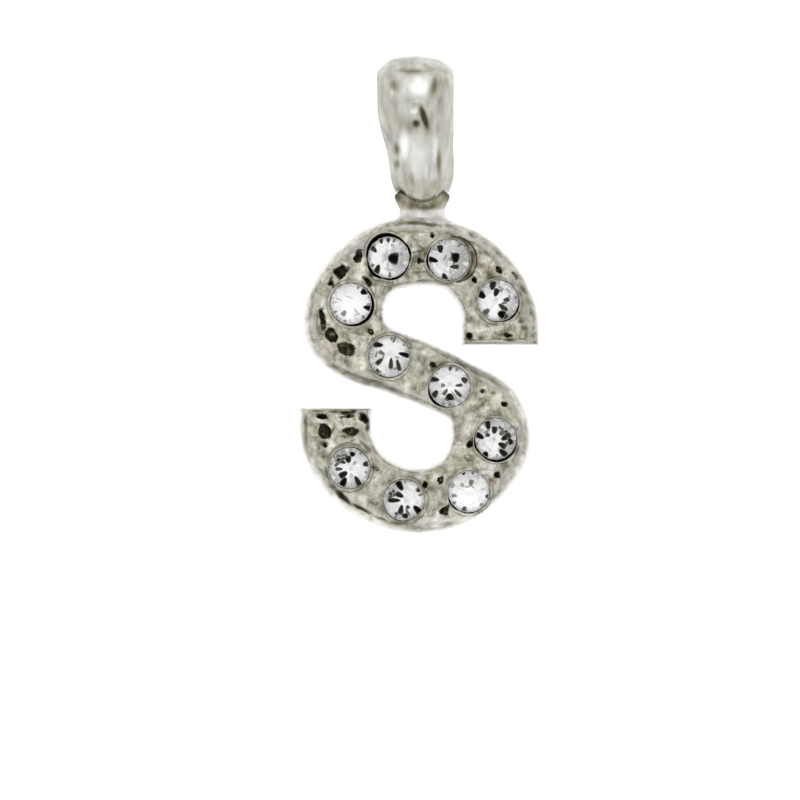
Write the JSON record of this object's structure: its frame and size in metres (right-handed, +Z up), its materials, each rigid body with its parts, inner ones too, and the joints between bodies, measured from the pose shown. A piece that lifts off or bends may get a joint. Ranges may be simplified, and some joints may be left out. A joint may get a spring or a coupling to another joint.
{
  "type": "initial pendant",
  "caption": "Bold capital letter pendant in rough silver-coloured casting, set with round clear rhinestones and hung from a polished looped bail.",
  "frame": {"origin": "inside top of the bail's loop, in the middle between its front and its back, where a chain or jump ring bears", "axes": "+Z up as the pendant hangs, -Y out of the letter's stone-set face, +X to the right as its face is looked at"},
  "size_m": [0.0114, 0.0045, 0.0228],
  "materials": {
    "plated_casting": "silver-coloured plating, rough as cast in the letter's field, smooth on its border, polished on the bail, tarnished dark in the pits",
    "rhinestone": "clear faceted glass with a mirror foil behind it"
  },
  "bodies": {
    "root": {"letter_setting": "plated_casting", "stone_01": "rhinestone", "stone_02": "rhinestone", "stone_03": "rhinestone", "stone_04": "rhinestone", "stone_05": "rhinestone", "stone_06": "rhinestone", "stone_07": "rhinestone", "stone_08": "rhinestone", "stone_09": "rhinestone", "stone_10": "rhinestone"}
  },
  "joints": []
}
